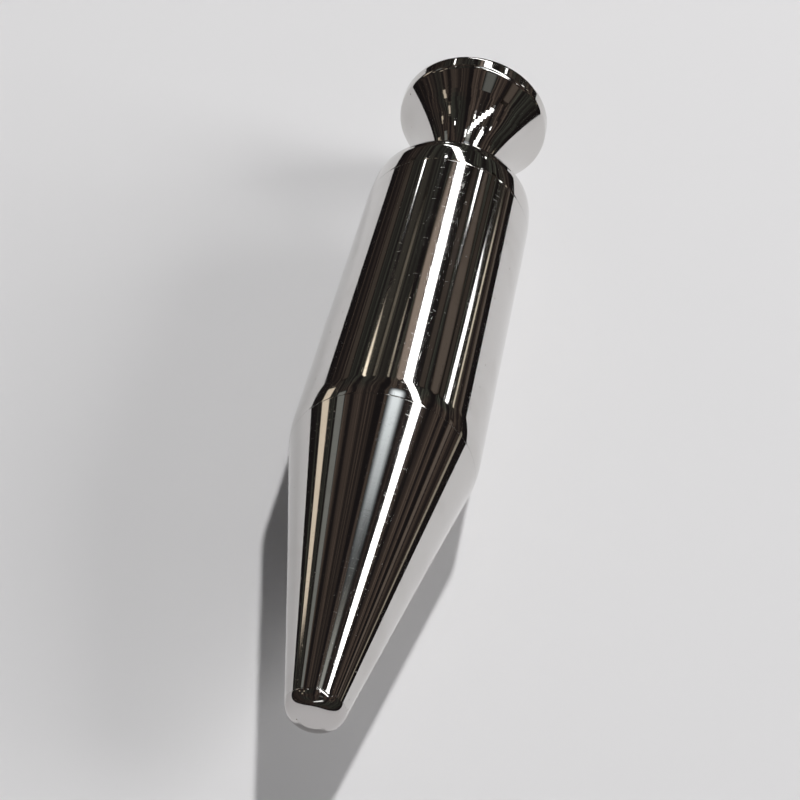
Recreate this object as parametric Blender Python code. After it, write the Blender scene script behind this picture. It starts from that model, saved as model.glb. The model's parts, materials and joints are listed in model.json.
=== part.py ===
"""Plumb bob: a slim tapered steel body with a screwed nose, a screwed point and a flared head.

The bob lies on its side. Its axis runs along +Y, with the point towards -Y and the head towards +Y.
The body is widest at the shoulder, near its middle, and touches z = 0 there.
Places "along" the axis are measured from the shoulder, positive towards the head.
A turned piece is drawn as a profile of (along, radius) points and skinned round the axis.
"""
from math import atan2, cos, pi, radians, sin, tan

import bmesh
import bpy
from mathutils import Vector

MM = 0.001

# Driving dimensions of the outside, in millimetres.
SHOULDER_RADIUS = 12.0
SHOULDER_ROUNDING = 13.5
BODY_LENGTH = 50.0
BODY_TOP_RADIUS = 10.9
BODY_TOP_ROUNDING = 1.85
PLUG_SEAT = 44.4
PLUG_CROWN_RADIUS = 35.0
PLUG_CROWN_TURN = radians(6)
NOSE_LENGTH = 43.4
TIP_RADIUS = 3.3
TIP_ROUNDING = 2.2
HEAD_HEIGHT = 18.1
NECK_RADIUS = 3.7
NECK_CORNER = 7.8
FLARE_ROUNDING = 20.5
RIM_RADIUS = 10.25
RIM_THICKNESS = 2.7
RIM_ROUNDING = 1.0

# Clearances: between a thread and its bore, and between faces that seat on each other.
FIT_GAP = 0.3
SEAT_GAP = 0.3
CHAMFER = 0.4

# Right-hand threads: crest radius, root radius, pitch and number of turns.
NOSE_THREAD = {"crest": 6.6, "root": 5.9, "pitch": 1.5, "turns": 5}
POINT_THREAD = {"crest": 2.4, "root": 2.0, "pitch": 0.7, "turns": 8}
STUD_THREAD = {"crest": 2.5, "root": 2.05, "pitch": 0.8, "turns": 7}
PLUG_THREAD = {"crest": 8.0, "root": 7.4, "pitch": 1.5, "turns": 4}

# Rubber rings: section radius, and the radius of the groove floor that each one sits on.
NOSE_RING = {"section": 0.6, "groove": 5.3}
POINT_RING = {"section": 0.32, "groove": 1.35}
HEAD_RING = {"section": 0.35, "groove": 1.6}

# The inside of the barrel, from the nose end to the head end.
NOSE_BORE_RADIUS = 7.1
NOSE_BORE_DEPTH = 12.0
WEB_THICKNESS = 2.0
CORE_BORE_RADIUS = PLUG_THREAD["crest"] + FIT_GAP
CORE_LENGTH = 20.0
PAD_THICKNESS = 1.4
PLUG_POCKET_RADIUS = 2.95
PLUG_FLOOR_THICKNESS = 2.0

# The cord's way down through the head.
CORD_HOLE_RADIUS = 0.9
CORD_WAY_RADIUS = 1.5
STUD_SOCKET_DEPTH = 9.7
FERRULE = {"flange": 3.2, "thickness": 0.9, "tube": 1.9, "hole": 1.1, "length": 4.5}
BUTTON = {"radius": 2.2, "length": 2.4, "hole": 0.8}

# Facets round the large pieces, the small pieces and a rubber ring's section.
LARGE_SIDES = 40
SMALL_SIDES = 24
SECTION_SIDES = 8

HEAD_SEAT = BODY_LENGTH + SEAT_GAP
HEAD_END = HEAD_SEAT + HEAD_HEIGHT
MID_LENGTH = (HEAD_END - NOSE_LENGTH) / 2

POLISHED_STEEL = ("polished_steel", (0.62, 0.60, 0.58), 0.10, 1.0)
HARDENED_STEEL = ("hardened_steel", (0.50, 0.49, 0.49), 0.14, 1.0)
TURNED_STEEL = ("turned_steel", (0.55, 0.55, 0.56), 0.32, 1.0)
LEAD = ("lead_alloy", (0.24, 0.25, 0.27), 0.55, 1.0)
BRASS = ("brass", (0.72, 0.52, 0.22), 0.28, 1.0)
RUBBER = ("black_rubber", (0.025, 0.025, 0.027), 0.65, 0.0)
FELT = ("grey_felt", (0.30, 0.29, 0.27), 0.95, 0.0)


def clear_scene():
    """Remove the objects and meshes that the file opened with."""
    for thing in list(bpy.data.objects):
        bpy.data.objects.remove(thing, do_unlink=True)
    for mesh in list(bpy.data.meshes):
        bpy.data.meshes.remove(mesh)


def material(spec):
    """Return the Principled material for a (name, colour, roughness, metallic) finish."""
    name, colour, roughness, metallic = spec
    made = bpy.data.materials.get(name)
    if made:
        return made
    made = bpy.data.materials.new(name)
    made.use_nodes = True
    shader = made.node_tree.nodes["Principled BSDF"]
    shader.inputs["Base Color"].default_value = (*colour, 1.0)
    shader.inputs["Roughness"].default_value = roughness
    shader.inputs["Metallic"].default_value = metallic
    made.diffuse_color = (*colour, 1.0)
    return made


# Profiles in the (along, radius) plane.

def arc(centre, radius, start, end, steps):
    """Return the points of an arc, ends included."""
    angles = [start + (end - start) * step / steps for step in range(steps + 1)]
    return [(centre[0] + radius * cos(a), centre[1] + radius * sin(a)) for a in angles]


def rounded_corner(before, corner, after, radius, steps):
    """Return the arc that rounds a corner, tangent to the straight lines on both sides of it."""
    to_before = (Vector(before) - Vector(corner)).normalized()
    to_after = (Vector(after) - Vector(corner)).normalized()
    half = to_before.angle(to_after) / 2
    centre = Vector(corner) + (to_before + to_after).normalized() * radius / sin(half)
    first = Vector(corner) + to_before * radius / tan(half) - centre
    last = Vector(corner) + to_after * radius / tan(half) - centre
    start = atan2(first.y, first.x)
    sweep = (atan2(last.y, last.x) - start + pi) % (2 * pi) - pi
    return arc(centre, radius, start, start + sweep, steps)


def plug_outline(seat_radius, slope):
    """Return the end plug's outline: a slightly crowned side and a rounded corner to its top face."""
    normal = pi / 2 - slope
    centre = (PLUG_SEAT - PLUG_CROWN_RADIUS * cos(normal), seat_radius - PLUG_CROWN_RADIUS * sin(normal))
    crown = arc(centre, PLUG_CROWN_RADIUS, normal, normal - PLUG_CROWN_TURN, 3)
    along, radius = crown[-1]
    corner = (BODY_LENGTH, radius - (BODY_LENGTH - along) * tan(slope + PLUG_CROWN_TURN))
    return crown[:-1] + rounded_corner(crown[0], corner, (BODY_LENGTH, 0), BODY_TOP_ROUNDING, 4)


BODY_SLOPE = atan2(SHOULDER_RADIUS - BODY_TOP_RADIUS, BODY_LENGTH)
NOSE_SLOPE = atan2(SHOULDER_RADIUS - TIP_RADIUS, NOSE_LENGTH)
TIP_CURVE = rounded_corner((0, SHOULDER_RADIUS), (-NOSE_LENGTH, TIP_RADIUS), (-NOSE_LENGTH, 0), TIP_ROUNDING, 8)
POINT_SEAT, POINT_SEAT_RADIUS = TIP_CURVE[0]
SHOULDER_CURVE = rounded_corner((POINT_SEAT, POINT_SEAT_RADIUS), (0, SHOULDER_RADIUS),
                                (BODY_LENGTH, BODY_TOP_RADIUS), SHOULDER_ROUNDING, 4)
NOSE_SEAT, NOSE_SEAT_RADIUS = SHOULDER_CURVE[0]
PLUG_SEAT_RADIUS = SHOULDER_RADIUS - PLUG_SEAT * tan(BODY_SLOPE)
PLUG_OUTLINE = plug_outline(PLUG_SEAT_RADIUS, BODY_SLOPE)
AXIS_HEIGHT = max(radius for along, radius in SHOULDER_CURVE) * cos(pi / LARGE_SIDES)

# Places along the axis of the pieces inside, each one a seat gap from the last.
BORE_FLOOR = NOSE_SEAT + NOSE_BORE_DEPTH
CORE_START = BORE_FLOOR + WEB_THICKNESS + SEAT_GAP
PAD_START = CORE_START + CORE_LENGTH + SEAT_GAP
PLUG_START = PAD_START + PAD_THICKNESS + SEAT_GAP
POCKET_FLOOR = PLUG_START + PLUG_FLOOR_THICKNESS
BUTTON_START = POCKET_FLOOR + SEAT_GAP
STUD_START = BUTTON_START + BUTTON["length"] + SEAT_GAP
STUD_END = HEAD_SEAT + STUD_SOCKET_DEPTH - SEAT_GAP
FERRULE_START = HEAD_END - FERRULE["length"]


# Skins of turned pieces.

def corner_vertex(mesh, known, along, radius, turn):
    """Return the mesh's vertex at a place on a turned skin, made once and then shared."""
    place = (radius * sin(turn) * MM, (along - MID_LENGTH) * MM, radius * cos(turn) * MM)
    key = tuple(round(value * 1e7) for value in place)
    if key not in known:
        known[key] = mesh.verts.new(place)
    return known[key]


def facet_turn(column, sides):
    """Return a facet corner's turn, offset by half a facet so that a flat one faces down."""
    return 2 * pi * (column + 0.5) / sides


def skin_rows(mesh, known, rows, sides):
    """Skin rows of (along, radius) corners; each row holds one corner more than it has sides."""
    for low, high in zip(rows, rows[1:]):
        for column in range(sides):
            after = column + 1
            outline = [(low[column], column), (low[after], after), (high[after], after), (high[column], column)]
            corners = [corner_vertex(mesh, known, *place, facet_turn(turn % sides, sides))
                       for place, turn in outline]
            corners = list(dict.fromkeys(corners))
            if len(corners) > 2:
                mesh.faces.new(corners)


def thread_length(thread):
    """Return the length of a thread, from its first turn to its last."""
    return thread["pitch"] * thread["turns"]


def thread_rows(thread, start, sides):
    """Return the rows of a V thread that climbs one pitch a turn, with plain circles at its ends."""
    end = start + thread_length(thread)
    rows = []
    for wind in range(-1, thread["turns"] + 1):
        for offset, level in ((0.0, thread["root"]), (0.5, thread["crest"])):
            places = [start + (wind + offset + column / sides) * thread["pitch"] for column in range(sides + 1)]
            rows.append([(min(max(along, start), end), level if start < along < end else thread["root"])
                         for along in places])
    return rows


def turned_piece(name, finish, pivot, runs, sides=SMALL_SIDES):
    """Make one turned solid from runs that join end to end.

    A run is a list of (along, radius) points, or a (thread, start) pair for a stretch of thread.
    """
    mesh = bmesh.new()
    known = {}
    for run in runs:
        if isinstance(run[0], dict):
            rows = thread_rows(run[0], run[1], sides)
        else:
            rows = [[place] * (sides + 1) for place in run]
        skin_rows(mesh, known, rows, sides)
    bmesh.ops.recalc_face_normals(mesh, faces=mesh.faces)
    bmesh.ops.translate(mesh, vec=(0, (MID_LENGTH - pivot["along"]) * MM, 0), verts=mesh.verts)
    data = bpy.data.meshes.new(name)
    mesh.to_mesh(data)
    mesh.free()
    data.shade_smooth()
    data.set_sharp_from_angle(angle=pi / 6)
    data.materials.append(material(finish))
    piece = bpy.data.objects.new(name, data)
    bpy.context.collection.objects.link(piece)
    piece.parent = pivot
    return piece


def axis_pivot(name, along, parent=None):
    """Make an empty on the bob's axis that the pieces of one moving group hang on."""
    pivot = bpy.data.objects.new(name, None)
    pivot.empty_display_size = 10 * MM
    pivot["along"] = along
    bpy.context.collection.objects.link(pivot)
    if parent:
        pivot.parent = parent
        pivot.location = (0, (along - parent["along"]) * MM, 0)
    else:
        pivot.location = (0, (along - MID_LENGTH) * MM, AXIS_HEIGHT * MM)
    return pivot


# The pieces.

def barrel(pivot):
    """The polished tapered tube, with a web between the nose's bore and the core's bore."""
    web_end = BORE_FLOOR + WEB_THICKNESS
    seat = PLUG_SEAT - SEAT_GAP / 2
    profile = [
        (BORE_FLOOR, 0),
        (BORE_FLOOR, NOSE_BORE_RADIUS),
        (NOSE_SEAT + SEAT_GAP / 2 + CHAMFER, NOSE_BORE_RADIUS),
        (NOSE_SEAT + SEAT_GAP / 2, NOSE_BORE_RADIUS + CHAMFER),
        (NOSE_SEAT + SEAT_GAP / 2, NOSE_SEAT_RADIUS),
        *SHOULDER_CURVE[1:],
        (seat, PLUG_SEAT_RADIUS),
        (seat, CORE_BORE_RADIUS + CHAMFER),
        (seat - CHAMFER, CORE_BORE_RADIUS),
        (web_end, CORE_BORE_RADIUS),
        (web_end, 0),
    ]
    return turned_piece("barrel", POLISHED_STEEL, pivot, [profile], LARGE_SIDES)


def end_plug(pivot):
    """The screwed plug that closes the barrel, with a crowned side and a rounded corner."""
    root = PLUG_THREAD["root"]
    thread_start = PLUG_START + 2 * CHAMFER
    thread_end = thread_start + thread_length(PLUG_THREAD)
    seat = PLUG_SEAT + SEAT_GAP / 2
    start = [(PLUG_START, 0), (PLUG_START, root - CHAMFER), (thread_start - CHAMFER, root), (thread_start, root)]
    flange = [
        (thread_end, root),
        (seat, root),
        (seat, PLUG_SEAT_RADIUS),
        *PLUG_OUTLINE[1:],
        (BODY_LENGTH, PLUG_POCKET_RADIUS + CHAMFER),
        (BODY_LENGTH - CHAMFER, PLUG_POCKET_RADIUS),
        (POCKET_FLOOR, PLUG_POCKET_RADIUS),
        (POCKET_FLOOR, 0),
    ]
    return turned_piece("end_plug", POLISHED_STEEL, pivot, [start, (PLUG_THREAD, thread_start), flange],
                        LARGE_SIDES)


def disc(name, finish, pivot, start, length, radius, chamfer):
    """Make a plain chamfered disc or slug."""
    profile = [
        (start, 0),
        (start, radius - chamfer),
        (start + chamfer, radius),
        (start + length - chamfer, radius),
        (start + length, radius - chamfer),
        (start + length, 0),
    ]
    return turned_piece(name, finish, pivot, [profile])


def rubber_ring(name, ring, along, pivot):
    """Make an O-ring that sits on its groove floor."""
    centre = (along, ring["groove"] + FIT_GAP + ring["section"])
    section = arc(centre, ring["section"], 0, 2 * pi, SECTION_SIDES)
    return turned_piece(name, RUBBER, pivot, [section])


def ring_groove(ring, along, land, towards):
    """Return the groove for a ring, in the order that the profile runs (towards +1 or -1)."""
    half = (ring["section"] + FIT_GAP) * towards
    return [(along - half, land), (along - half, ring["groove"]), (along + half, ring["groove"]), (along + half, land)]


NOSE_RING_ALONG = NOSE_SEAT + 2.2
POINT_RING_ALONG = POINT_SEAT + 1.5
HEAD_RING_ALONG = BODY_LENGTH - 1.4


def nose_cone(pivot):
    """The polished cone, with a threaded spigot for the barrel and a bore for the point."""
    root = NOSE_THREAD["root"]
    bore = POINT_THREAD["crest"] + FIT_GAP
    small_end = POINT_SEAT + SEAT_GAP / 2
    large_end = NOSE_SEAT - SEAT_GAP / 2
    bore_floor = POINT_RING_ALONG + 1.2 + thread_length(POINT_THREAD) + 1.0
    thread_start = NOSE_RING_ALONG + 1.9
    thread_end = thread_start + thread_length(NOSE_THREAD)
    cone = [
        (bore_floor, 0),
        (bore_floor, bore),
        (small_end, bore),
        (small_end, POINT_SEAT_RADIUS + (small_end - POINT_SEAT) * tan(NOSE_SLOPE)),
        (large_end, NOSE_SEAT_RADIUS - (NOSE_SEAT - large_end) * tan(NOSE_SLOPE)),
        (large_end, NOSE_THREAD["crest"]),
        *ring_groove(NOSE_RING, NOSE_RING_ALONG, NOSE_THREAD["crest"], 1),
        (thread_start - CHAMFER, NOSE_THREAD["crest"]),
        (thread_start - CHAMFER, root),
        (thread_start, root),
    ]
    tail = [(thread_end, root), (thread_end + CHAMFER, root - CHAMFER), (thread_end + CHAMFER, 0)]
    return turned_piece("nose_cone", POLISHED_STEEL, pivot, [cone, (NOSE_THREAD, thread_start), tail], LARGE_SIDES)


def point(pivot):
    """The hard blunt point, on a threaded shank."""
    root = POINT_THREAD["root"]
    seat = POINT_SEAT - SEAT_GAP / 2
    along, radius = TIP_CURVE[1]
    seat_radius = radius + (POINT_SEAT_RADIUS - radius) * (seat - along) / (POINT_SEAT - along)
    thread_start = POINT_RING_ALONG + 1.2
    thread_end = thread_start + thread_length(POINT_THREAD)
    shank = [
        (-NOSE_LENGTH, 0),
        *TIP_CURVE[:0:-1],
        (seat, seat_radius),
        (seat, root),
        *ring_groove(POINT_RING, POINT_RING_ALONG, root, 1),
        (thread_start, root),
    ]
    tail = [(thread_end, root), (thread_end + CHAMFER, root - CHAMFER), (thread_end + CHAMFER, 0)]
    return turned_piece("point", HARDENED_STEEL, pivot, [shank, (POINT_THREAD, thread_start), tail])


def head(pivot):
    """The flared head: neck, trumpet flare and rounded rim, bored for the stud, the cord and the ferrule."""
    socket = STUD_THREAD["crest"] + FIT_GAP
    socket_floor = HEAD_SEAT + STUD_SOCKET_DEPTH
    rim_start = HEAD_END - RIM_THICKNESS
    neck_top = (HEAD_SEAT + NECK_CORNER, NECK_RADIUS)
    flare = rounded_corner((HEAD_SEAT, NECK_RADIUS), neck_top, (rim_start, RIM_RADIUS), FLARE_ROUNDING, 7)
    front_edge = rounded_corner(neck_top, (rim_start, RIM_RADIUS), (HEAD_END, RIM_RADIUS), RIM_ROUNDING, 3)
    back_edge = rounded_corner((rim_start, RIM_RADIUS), (HEAD_END, RIM_RADIUS), (HEAD_END, 0), RIM_ROUNDING, 3)
    recess_floor = HEAD_END - FERRULE["thickness"] - FIT_GAP
    tube_floor = FERRULE_START - SEAT_GAP
    profile = [
        (socket_floor, socket),
        (HEAD_SEAT, socket),
        (HEAD_SEAT, NECK_RADIUS),
        *flare,
        *front_edge,
        *back_edge,
        (HEAD_END, FERRULE["flange"] + FIT_GAP),
        (recess_floor, FERRULE["flange"] + FIT_GAP),
        (recess_floor, FERRULE["tube"] + FIT_GAP),
        (tube_floor, FERRULE["tube"] + FIT_GAP),
        (tube_floor, CORD_WAY_RADIUS),
        (socket_floor, CORD_WAY_RADIUS),
        (socket_floor, socket),
    ]
    return turned_piece("head", POLISHED_STEEL, pivot, [profile], LARGE_SIDES)


def head_stud(pivot):
    """The drilled stud that joins the head to the end plug."""
    root = STUD_THREAD["root"]
    thread_start = STUD_START + CHAMFER
    thread_end = thread_start + thread_length(STUD_THREAD)
    lower = [(STUD_START, CORD_HOLE_RADIUS), (STUD_START, root - CHAMFER), (thread_start, root)]
    upper = [
        (thread_end, root),
        *ring_groove(HEAD_RING, HEAD_RING_ALONG, root, 1),
        (HEAD_SEAT, root),
        (HEAD_SEAT, STUD_THREAD["crest"]),
        (STUD_END - CHAMFER, STUD_THREAD["crest"]),
        (STUD_END, STUD_THREAD["crest"] - CHAMFER),
        (STUD_END, CORD_HOLE_RADIUS),
        (STUD_START, CORD_HOLE_RADIUS),
    ]
    return turned_piece("head_stud", TURNED_STEEL, pivot, [lower, (STUD_THREAD, thread_start), upper])


def cord_ferrule(pivot):
    """The flanged brass bush that keeps the hole's edge from cutting the cord."""
    flange_start = HEAD_END - FERRULE["thickness"]
    lip = FERRULE["hole"] + CHAMFER
    profile = [
        (FERRULE_START, FERRULE["hole"]),
        (FERRULE_START, FERRULE["tube"]),
        (flange_start, FERRULE["tube"]),
        (flange_start, FERRULE["flange"]),
        (HEAD_END, FERRULE["flange"]),
        (HEAD_END, lip),
        (HEAD_END - CHAMFER, FERRULE["hole"]),
        (FERRULE_START, FERRULE["hole"]),
    ]
    return turned_piece("cord_ferrule", BRASS, pivot, [profile])


def cord_button(pivot):
    """The drilled bead under the stud, which the cord's knot pulls against and turns with."""
    end = BUTTON_START + BUTTON["length"]
    profile = [
        (BUTTON_START, BUTTON["hole"]),
        (BUTTON_START, BUTTON["radius"] - CHAMFER),
        (BUTTON_START + CHAMFER, BUTTON["radius"]),
        (end - CHAMFER, BUTTON["radius"]),
        (end, BUTTON["radius"] - CHAMFER),
        (end, BUTTON["hole"]),
        (BUTTON_START, BUTTON["hole"]),
    ]
    return turned_piece("cord_button", BRASS, pivot, [profile])


def main():
    """Build the bob, each moving group on its own pivot on the axis."""
    clear_scene()
    body_pivot = axis_pivot("body_pivot", 0)
    nose_pivot = axis_pivot("nose_pivot", NOSE_SEAT, body_pivot)
    point_pivot = axis_pivot("point_pivot", POINT_SEAT, nose_pivot)
    head_pivot = axis_pivot("head_pivot", BODY_LENGTH, body_pivot)
    button_pivot = axis_pivot("button_pivot", BUTTON_START, head_pivot)

    barrel(body_pivot)
    end_plug(body_pivot)
    disc("heavy_core", LEAD, body_pivot, CORE_START, CORE_LENGTH, CORE_BORE_RADIUS - FIT_GAP, CHAMFER)
    disc("core_pad", FELT, body_pivot, PAD_START, PAD_THICKNESS, CORE_BORE_RADIUS - FIT_GAP, CHAMFER / 2)

    nose_cone(nose_pivot)
    rubber_ring("nose_o_ring", NOSE_RING, NOSE_RING_ALONG, nose_pivot)
    point(point_pivot)
    rubber_ring("point_o_ring", POINT_RING, POINT_RING_ALONG, point_pivot)

    head(head_pivot)
    head_stud(head_pivot)
    rubber_ring("head_o_ring", HEAD_RING, HEAD_RING_ALONG, head_pivot)
    cord_ferrule(head_pivot)
    cord_button(button_pivot)


main()
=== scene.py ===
"""Plumb bob: finished pieces, materials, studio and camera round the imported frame.

The bob lies along Y with its point towards -Y. Every visible piece is a turned part, so each one
is an outline of (along, radius) corners in millimetres, measured along the axis from the shoulder.
Geometry Nodes turn the outline round the axis and cut the screw threads into it. Each piece stands
for one node of the frame and rides on that node's body, so that it unscrews as the real one does.
"""
import json
import logging
from dataclasses import dataclass
from enum import Enum
from math import atan2, cos, pi, radians, sin, tan
from typing import Any, Iterable

import bmesh
import bpy
from mathutils import Matrix, Quaternion, Vector

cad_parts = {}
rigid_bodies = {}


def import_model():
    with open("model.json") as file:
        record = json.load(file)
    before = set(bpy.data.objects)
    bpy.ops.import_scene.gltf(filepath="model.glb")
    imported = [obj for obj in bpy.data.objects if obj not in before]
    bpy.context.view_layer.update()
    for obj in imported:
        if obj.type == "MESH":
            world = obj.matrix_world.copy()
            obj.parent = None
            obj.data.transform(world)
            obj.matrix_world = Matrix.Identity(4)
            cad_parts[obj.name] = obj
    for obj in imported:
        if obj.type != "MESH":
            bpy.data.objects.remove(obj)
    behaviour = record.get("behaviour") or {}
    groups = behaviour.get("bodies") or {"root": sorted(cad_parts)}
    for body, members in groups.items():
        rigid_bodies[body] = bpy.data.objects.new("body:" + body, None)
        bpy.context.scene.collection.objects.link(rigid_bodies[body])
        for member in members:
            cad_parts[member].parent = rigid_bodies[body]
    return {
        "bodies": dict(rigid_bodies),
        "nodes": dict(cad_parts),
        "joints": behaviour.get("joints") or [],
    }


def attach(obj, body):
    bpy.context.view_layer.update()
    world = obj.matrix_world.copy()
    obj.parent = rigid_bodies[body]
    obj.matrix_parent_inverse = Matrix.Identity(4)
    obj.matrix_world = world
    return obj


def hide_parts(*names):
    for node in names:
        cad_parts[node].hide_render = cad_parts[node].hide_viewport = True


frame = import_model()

LOG = logging.getLogger("plumb_bob")
MM = 0.001
MICRON = 0.000001

Place = tuple[float, float]
Colour = tuple[float, float, float]
Material = bpy.types.Material
Node = bpy.types.Node
Object = bpy.types.Object
Socket = bpy.types.NodeSocket


# Node trees: sockets that Python's operators work on.

class Wire:
    """A value socket of a node tree, on which arithmetic adds Math nodes."""

    def __init__(self, graph: "Graph", socket: Socket) -> None:
        """Keep the socket and the graph that it belongs to."""
        self.graph = graph
        self.socket = socket

    def _math(self, operation: str, *values: Any) -> "Wire":
        """Return the result of a Math node on some values."""
        node = self.graph.node("ShaderNodeMath", {"operation": operation}, dict(enumerate(values)))
        return self.graph.wire(node, 0)

    def through(self, operation: str, *others: Any) -> "Wire":
        """Return this value, and any others, put through a Math node's operation."""
        return self._math(operation, self, *others)

    def __add__(self, other: Any) -> "Wire":
        """Return the sum."""
        return self._math("ADD", self, other)

    def __radd__(self, other: Any) -> "Wire":
        """Return the sum."""
        return self._math("ADD", other, self)

    def __sub__(self, other: Any) -> "Wire":
        """Return the difference."""
        return self._math("SUBTRACT", self, other)

    def __rsub__(self, other: Any) -> "Wire":
        """Return the difference, the other way round."""
        return self._math("SUBTRACT", other, self)

    def __mul__(self, other: Any) -> "Wire":
        """Return the product."""
        return self._math("MULTIPLY", self, other)

    def __rmul__(self, other: Any) -> "Wire":
        """Return the product."""
        return self._math("MULTIPLY", other, self)

    def __truediv__(self, other: Any) -> "Wire":
        """Return the quotient."""
        return self._math("DIVIDE", self, other)

    def __gt__(self, other: Any) -> "Wire":
        """Return 1 where this value is the larger, or else 0."""
        return self._math("GREATER_THAN", self, other)

    def __lt__(self, other: Any) -> "Wire":
        """Return 1 where this value is the smaller, or else 0."""
        return self._math("LESS_THAN", self, other)

    def between(self, low: float, high: float) -> "Wire":
        """Return a smooth step that is 0 below low and 1 above high.

        Args:
            low: the value at which the step starts.
            high: the value at which it ends; it may be below low, for a falling step.

        Returns:
            The step, from 0 to 1.
        """
        node = self.graph.node("ShaderNodeMapRange", {"interpolation_type": "SMOOTHSTEP"},
                               {"Value": self, "From Min": low, "From Max": high})
        return self.graph.wire(node, "Result")


class Graph:
    """A node tree, with one method that adds a node."""

    def __init__(self, tree: bpy.types.NodeTree) -> None:
        """Start on an empty tree."""
        self.tree = tree
        tree.nodes.clear()

    def node(self, kind: str, settings: dict[str, Any] | None = None,
             inputs: dict[Any, Any] | None = None) -> Node:
        """Add a node.

        Args:
            kind: the node's type.
            settings: its properties, set first.
            inputs: a value, a wire or a socket for each input, by name or number.

        Returns:
            The node.
        """
        node = self.tree.nodes.new(kind)
        for name, value in (settings or {}).items():
            setattr(node, name, value)
        for key, value in (inputs or {}).items():
            self.feed(node.inputs[key], value)
        return node

    def feed(self, socket: Socket, value: Any) -> None:
        """Link a wire or a socket to an input, or set the input's own value."""
        if isinstance(value, Wire):
            self.tree.links.new(value.socket, socket)
        elif isinstance(value, Socket):
            self.tree.links.new(value, socket)
        else:
            socket.default_value = value

    def wire(self, node: Node, output: Any) -> Wire:
        """Return a node's output as a wire."""
        return Wire(self, node.outputs[output])

    def parts(self, vector: Any) -> tuple[Wire, Wire, Wire]:
        """Return a vector's three components."""
        node = self.node("ShaderNodeSeparateXYZ", {}, {0: vector})
        return self.wire(node, 0), self.wire(node, 1), self.wire(node, 2)

    def mix(self, factor: Any, first: Any, second: Any) -> Socket:
        """Return a blend of two colours."""
        node = self.node("ShaderNodeMix", {"data_type": "RGBA"}, {0: factor, 6: first, 7: second})
        return node.outputs[2]

    def noise(self, place: Any, scale: float, detail: float = 2.0) -> Wire:
        """Return a noise value about 0.5, over a vector socket or along a single wire.

        Args:
            place: the coordinates, or the one value that the noise changes with.
            scale: how many features there are for each unit of place.
            detail: how many finer layers are added.

        Returns:
            The noise.
        """
        single = isinstance(place, Wire)
        node = self.node("ShaderNodeTexNoise", {"noise_dimensions": "1D" if single else "3D"},
                         {"W" if single else "Vector": place, "Scale": scale, "Detail": detail})
        return self.wire(node, 0)

    def show(self, shader: Node, output: str = "ShaderNodeOutputMaterial") -> None:
        """Send a shader to the tree's output."""
        self.node(output, {}, {"Surface": shader.outputs[0]})


def blank_material(name: str) -> tuple[Material, Graph]:
    """Return a new material with the graph of its empty tree."""
    made = bpy.data.materials.new(name)
    made.use_nodes = True
    return made, Graph(made.node_tree)


def new_object(name: str, data: Any) -> Object:
    """Return a new object that is in the scene."""
    made = bpy.data.objects.new(name, data)
    bpy.context.scene.collection.objects.link(made)
    return made


# Finishes.

def rgba(colour: Colour) -> tuple[float, float, float, float]:
    """Return a colour with full alpha."""
    return (*colour, 1.0)


@dataclass(frozen=True)
class Finish:
    """What every finish has: a name, the record's slot, a colour and how the light leaves it."""

    name: str
    slot: str
    colour: Colour
    roughness: float
    metallic: float = 1.0

    def make(self, axis_height: float) -> Material:
        """Make the material.

        Args:
            axis_height: the height of the bob's axis in metres, on which the patterns are centred.

        Returns:
            The material.
        """
        made, graph = blank_material(self.name)
        centred = graph.node("ShaderNodeMapping", {}, {
            "Vector": graph.node("ShaderNodeTexCoord").outputs["Object"],
            "Location": (0.0, 0.0, -axis_height)}).outputs[0]
        colour, roughness, height = self.surface(graph, centred)
        bump = graph.node("ShaderNodeBump", {}, {"Strength": 1.0, "Distance": MICRON, "Height": height})
        shader = graph.node("ShaderNodeBsdfPrincipled", {}, {
            "Base Color": colour, "Roughness": roughness, "Metallic": self.metallic,
            "Normal": bump.outputs[0]})
        graph.show(shader)
        made.diffuse_color = rgba(self.colour)
        return made

    def surface(self, graph: Graph, centred: Socket) -> tuple[Any, Any, Any]:
        """Return what varies over the surface.

        Args:
            graph: the material's graph.
            centred: Object coordinates with their origin on the bob's axis.

        Returns:
            The colour, the roughness and the height in microns.
        """
        raise NotImplementedError


def stretched(graph: Graph, vector: Socket, scale: tuple[float, float, float]) -> Socket:
    """Return coordinates scaled by a different amount on each axis."""
    return graph.node("ShaderNodeMapping", {}, {"Vector": vector, "Scale": scale}).outputs[0]


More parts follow.
